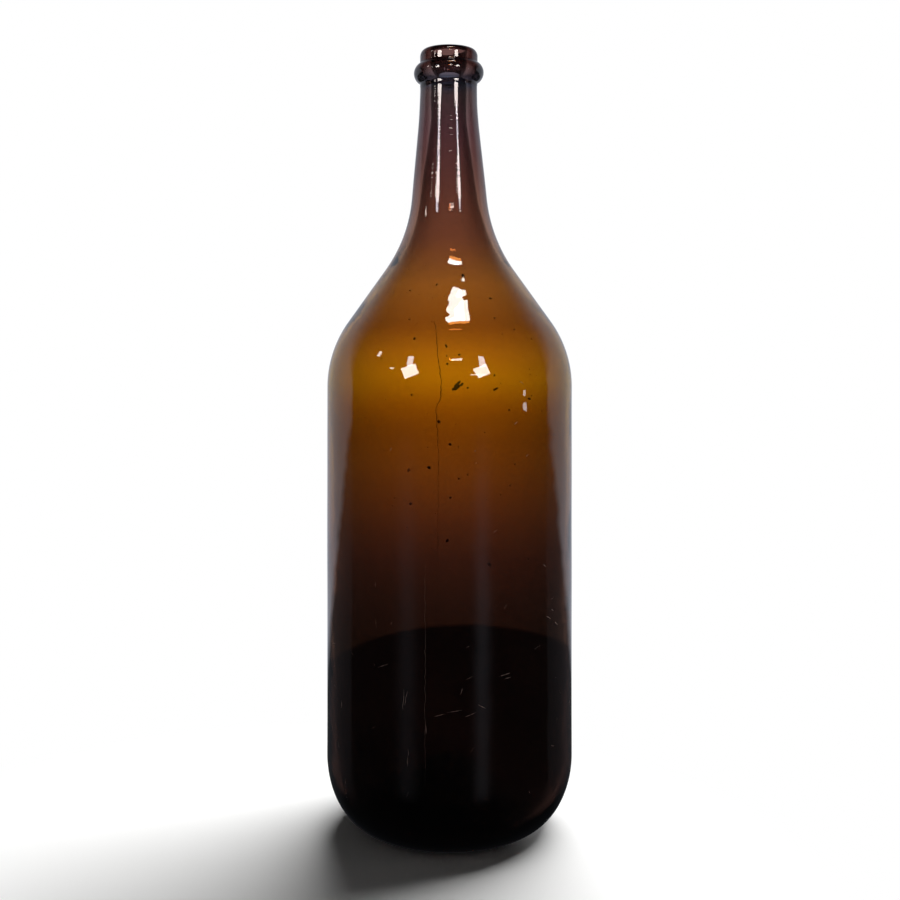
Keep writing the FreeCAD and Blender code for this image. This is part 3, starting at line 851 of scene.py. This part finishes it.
stageSetup = {
    "floorColour": "#F4F4F3",
    "floorReach": 3.0,      # metres
    "frontEdge": 135.0,     # mm in front of the axis, where the two floor boards meet
    "shadeCentre": (-0.08, -0.10, 0),   # metres, middle of the part of the floor that keeps its shade
    "openFrom": 0.12,       # metres from there where the floor turns into the backdrop
    "openTo": 0.29,
    "ambient": 0.04,        # what the white surroundings lend the matt floor
    "mirroredRoom": 0.60,   # pale room as the gloss sees it, behind and beside the bottle
    "mirroredTint": "#E2E7F5",
    "mirroredTable": 0.06,  # below it, at the sides
    "mirroredFront": 0.012,         # dim side behind the camera
    "roomEdge": 0.17,       # how far back the room begins, 1 being straight behind
    "roomSoftness": (0.12, 1.35, 0.08),  # its edge is softer higher up: start, gain, least height
    "tableSlope": 0.27,     # how steeply the table's far edge falls away
    "tableEdge": 0.02,
    "belowTable": (-0.55, -0.25),       # steepness downwards where the table is lost, and seen
    "glintHeights": (-0.05, -0.17),     # where the glints set in, and are whole
    # soft glints low in front: degrees round to the right, half width, brightness
    "glints": ((-39, 9, 0.10), (30, 7, 0.20)),
}


def seenRays(tree):
    # 1 for rays that see the backdrop: straight, mirrored or through the glass
    path = addNode(tree, "ShaderNodeLightPath")
    either = addNode(tree, "ShaderNodeMath", {"operation": "MAXIMUM"}, {
        0: path.outputs["Is Camera Ray"], 1: path.outputs["Is Transmission Ray"]})
    seen = addNode(tree, "ShaderNodeMath", {"operation": "MAXIMUM"}, {
        0: either.outputs[0], 1: path.outputs["Is Glossy Ray"]})
    direct = addNode(tree, "ShaderNodeMath", {"operation": "LESS_THAN"}, {
        0: path.outputs["Diffuse Depth"], 1: 0.5})
    shown = addNode(tree, "ShaderNodeMath", {"operation": "MULTIPLY"}, {
        0: seen.outputs[0], 1: direct.outputs[0]})
    return path, shown.outputs[0]


def makeFloor(s):
    # matt painted board: pale, no sheen, keeps the soft shadow
    material, tree = newMaterial("paintedBoardMatt")
    seen = seenRays(tree)[1]
    position = addNode(tree, "ShaderNodeTexCoord").outputs["Object"]
    offset = addNode(tree, "ShaderNodeVectorMath", {"operation": "SUBTRACT"}, {
        0: position, 1: s["shadeCentre"]})
    away = addNode(tree, "ShaderNodeVectorMath", {"operation": "LENGTH"}, {0: offset.outputs[0]})
    opening = addNode(tree, "ShaderNodeMapRange", {"interpolation_type": "SMOOTHSTEP"}, {
        "Value": away.outputs["Value"], "From Min": s["openFrom"], "From Max": s["openTo"]})
    openSeen = addNode(tree, "ShaderNodeMath", {"operation": "MULTIPLY"}, {
        0: opening.outputs[0], 1: seen})
    matt = addNode(tree, "ShaderNodeBsdfDiffuse", inputs={"Color": linear(s["floorColour"])})
    backdrop = addNode(tree, "ShaderNodeEmission", inputs={"Strength": 1.0})
    mixed = addNode(tree, "ShaderNodeMixShader", inputs={
        0: openSeen.outputs[0], 1: matt.outputs[0], 2: backdrop.outputs[0]})
    addNode(tree, "ShaderNodeOutputMaterial", inputs={"Surface": mixed.outputs[0]})
    reach = s["floorReach"]
    edge = -s["frontEdge"] * mm
    for name, near, far in (("floor", edge, reach), ("frontFloor", -reach, edge)):
        corners = [(-reach, near, 0), (reach, near, 0), (reach, far, 0), (-reach, far, 0)]
        board = addMesh(name, corners, [(0, 1, 2, 3)], material, smooth=False)
        board.visible_glossy = False


def makeWorld(s):
    # white all round for the eye and through glass; the gloss sees a pale room with a dim front
    world = bpy.data.worlds.new("studio")
    world.use_nodes = True
    tree = world.node_tree
    tree.nodes.clear()
    bpy.context.scene.world = world
    path, seen = seenRays(tree)
    way = addNode(tree, "ShaderNodeTexCoord").outputs["Generated"]
    split = addNode(tree, "ShaderNodeSeparateXYZ", inputs={"Vector": way})
    softStart, softGain, softLeast = s["roomSoftness"]
    raised = addNode(tree, "ShaderNodeMath", {"operation": "MAXIMUM"}, {0: split.outputs["Z"], 1: softLeast})
    fullyPale = addNode(tree, "ShaderNodeMath", {"operation": "MULTIPLY_ADD"}, {
        0: raised.outputs[0], 1: softGain, 2: softStart})
    behind = addNode(tree, "ShaderNodeMapRange", {"interpolation_type": "SMOOTHSTEP"}, {
        "Value": split.outputs["Y"], "From Min": s["roomEdge"], "From Max": fullyPale.outputs[0]})
    slope = addNode(tree, "ShaderNodeMath", {"operation": "MULTIPLY_ADD"}, {
        0: split.outputs["Y"], 1: s["tableSlope"], 2: split.outputs["Z"]})
    overTable = addNode(tree, "ShaderNodeMapRange", inputs={
        "Value": slope.outputs[0], "From Min": -s["tableEdge"], "From Max": s["tableEdge"]})
    pale = addNode(tree, "ShaderNodeMath", {"operation": "MULTIPLY"}, {
        0: behind.outputs[0], 1: overTable.outputs[0]})
    notBelow = addNode(tree, "ShaderNodeMapRange", inputs={
        "Value": split.outputs["Z"], "From Min": s["belowTable"][0], "From Max": s["belowTable"][1]})
    tableSeen = addNode(tree, "ShaderNodeMath", {"operation": "MULTIPLY"}, {
        0: behind.outputs[0], 1: notBelow.outputs[0]})
    low = addNode(tree, "ShaderNodeMapRange", inputs={
        "Value": tableSeen.outputs[0], "To Min": s["mirroredFront"], "To Max": s["mirroredTable"]})
    room = addNode(tree, "ShaderNodeMapRange", inputs={
        "Value": pale.outputs[0], "To Min": low.outputs[0], "To Max": s["mirroredRoom"]})
    forward = addNode(tree, "ShaderNodeMath", {"operation": "MULTIPLY"}, {0: split.outputs["Y"], 1: -1.0})
    bearing = addNode(tree, "ShaderNodeMath", {"operation": "ARCTAN2"}, {
        0: split.outputs["X"], 1: forward.outputs[0]})
    downwards = addNode(tree, "ShaderNodeMapRange", inputs={
        "Value": split.outputs["Z"], "From Min": s["glintHeights"][0], "From Max": s["glintHeights"][1]})
    glintHeight = addNode(tree, "ShaderNodeMath", {"operation": "MULTIPLY"}, {
        0: downwards.outputs[0], 1: notBelow.outputs[0]})
    for turn, half, bright in s["glints"]:
        off = addNode(tree, "ShaderNodeMath", {"operation": "SUBTRACT"}, {
            0: bearing.outputs[0], 1: math.radians(turn)})
        share = addNode(tree, "ShaderNodeMath", {"operation": "DIVIDE"}, {
            0: off.outputs[0], 1: math.radians(half)})
        squared = addNode(tree, "ShaderNodeMath", {"operation": "MULTIPLY"}, {
            0: share.outputs[0], 1: share.outputs[0]})
        falling = addNode(tree, "ShaderNodeMath", {"operation": "MULTIPLY"}, {
            0: squared.outputs[0], 1: -1.0})
        bell = addNode(tree, "ShaderNodeMath", {"operation": "EXPONENT"}, {0: falling.outputs[0]})
        lowBell = addNode(tree, "ShaderNodeMath", {"operation": "MULTIPLY"}, {
            0: bell.outputs[0], 1: glintHeight.outputs[0]})
        room = addNode(tree, "ShaderNodeMath", {"operation": "MULTIPLY_ADD"}, {
            0: lowBell.outputs[0], 1: bright, 2: room.outputs[0]})
    mirrored = addNode(tree, "ShaderNodeMath", {"operation": "SUBTRACT", "use_clamp": True}, {
        0: path.outputs["Is Glossy Ray"], 1: path.outputs["Is Transmission Ray"]})
    level = addNode(tree, "ShaderNodeMix", {"data_type": "FLOAT"}, {
        0: mirrored.outputs[0], 2: 1.0, 3: room.outputs[0]})
    strength = addNode(tree, "ShaderNodeMix", {"data_type": "FLOAT"}, {
        0: seen, 2: s["ambient"], 3: level.outputs[0]})
    tint = addNode(tree, "ShaderNodeMix", {"data_type": "RGBA"}, {
        0: mirrored.outputs[0], 6: (1, 1, 1, 1), 7: linear(s["mirroredTint"])})
    sky = addNode(tree, "ShaderNodeBackground", inputs={
        "Color": tint.outputs[2], "Strength": strength.outputs[0]})
    addNode(tree, "ShaderNodeOutputWorld", inputs={"Surface": sky.outputs[0]})


lampAim = (0, 0, 0.28)      # metres, the shoulder
# azimuth in degrees round from the front to the right, elevation and metres from the
# shoulder; sizes in metres; glow is how bright the lamp's face is
lampSetup = {
    "softKey": {"azimuth": 152, "elevation": 51, "away": 1.9, "size": (2.1, 0.8), "glow": 16,
                "tint": "#FFFFFF", "lights": "floor"},
    "leftWindow": {"azimuth": -37, "elevation": 16, "away": 2.5, "size": (0.58, 0.46), "glow": 20,
                   "tint": "#FFF2EC", "lights": "gloss", "roll": 27},
    "rightWindow": {"azimuth": 30, "elevation": 16, "away": 2.5, "size": (0.54, 0.46), "glow": 20,
                    "tint": "#FFF2EC", "lights": "gloss", "roll": 20},
    # upper sashes: narrower, they draw the long lights on the neck
    "leftSash": {"azimuth": -38, "elevation": 25.3, "away": 2.5, "size": (0.22, 0.40), "glow": 13,
                 "tint": "#F4F4FF", "lights": "gloss"},
    "rightSash": {"azimuth": 31, "elevation": 24.8, "away": 2.5, "size": (0.20, 0.38), "glow": 13,
                  "tint": "#F4F4FF", "lights": "gloss"},
    "topWindow": {"azimuth": 18, "elevation": 69.8, "away": 2.2, "size": (0.66, 0.125), "glow": 20,
                  "tint": "#FFFAF4", "lights": "gloss"},
    "topWindowUpper": {"azimuth": 11, "elevation": 71.0, "away": 2.2, "size": (0.55, 0.10), "glow": 20,
                       "tint": "#FFFAF4", "lights": "gloss"},
    "topWarmEdge": {"azimuth": 17, "elevation": 66.9, "away": 2.2, "size": (0.62, 0.10), "glow": 13,
                    "tint": "#FFA050", "lights": "gloss"},
    "warmBar": {"azimuth": 8, "elevation": 59.5, "away": 2.2, "size": (0.34, 0.05), "glow": 9,
                "tint": "#FF9048", "lights": "gloss"},
    "warmSpot": {"azimuth": 1, "elevation": 28.2, "away": 2.5, "size": (0.16, 0.05), "glow": 26,
                 "tint": "#FF8A30", "lights": "gloss"},
    "warmSpotLow": {"azimuth": 1, "elevation": 27.0, "away": 2.5, "size": (0.16, 0.025), "glow": 24,
                    "tint": "#FF8A30", "lights": "gloss"},
    "ceilingStrip": {"azimuth": 7, "elevation": 27.6, "away": 2.5, "size": (0.46, 0.10), "glow": 16,
                     "tint": "#FFF2EC", "lights": "gloss"},
    "sillStrip": {"azimuth": 25, "elevation": 12.6, "away": 2.5, "size": (0.56, 0.05), "glow": 12,
                  "tint": "#FFF2EC", "lights": "gloss"},
    "leftPane": {"azimuth": -75, "elevation": 26, "away": 2.5, "size": (0.14, 0.20), "glow": 14,
                 "tint": "#FFF2EC", "lights": "gloss"},
    "leftBar": {"azimuth": -57, "elevation": 17, "away": 2.5, "size": (0.22, 0.07), "glow": 12,
                "tint": "#FFF2EC", "lights": "gloss"},
    "rightBars": {"azimuth": 71, "elevation": -2.8, "away": 2.5, "size": (0.16, 0.05), "glow": 7,
                  "tint": "#F4F0FF", "lights": "gloss"},
}


def makeLamps(lamps):
    aim = Vector(lampAim)
    for name, lamp in lamps.items():
        turn = math.radians(lamp["azimuth"])
        rise = math.radians(lamp["elevation"])
        way = Vector((math.sin(turn) * math.cos(rise), -math.cos(turn) * math.cos(rise), math.sin(rise)))
        data = bpy.data.lights.new(name, "AREA")
        data.shape = "RECTANGLE"
        data.size, data.size_y = lamp["size"]
        data.energy = lamp["glow"] * math.pi * lamp["size"][0] * lamp["size"][1]
        data.color = linear(lamp["tint"])[:3]
        lampObject = bpy.data.objects.new(name, data)
        lampObject.location = aim + way * lamp["away"]
        roll = Quaternion((0, 0, 1), math.radians(lamp.get("roll", 0)))
        lampObject.rotation_euler = (way.to_track_quat("Z", "Y") @ roll).to_euler()
        lampObject.visible_camera = False
        lampObject.visible_transmission = False
        lampObject.visible_glossy = lamp["lights"] == "gloss"
        lampObject.visible_diffuse = lamp["lights"] == "floor"
        bpy.context.scene.collection.objects.link(lampObject)


makeFloor(stageSetup)
makeWorld(stageSetup)
makeLamps(lampSetup)
print("stage lit")
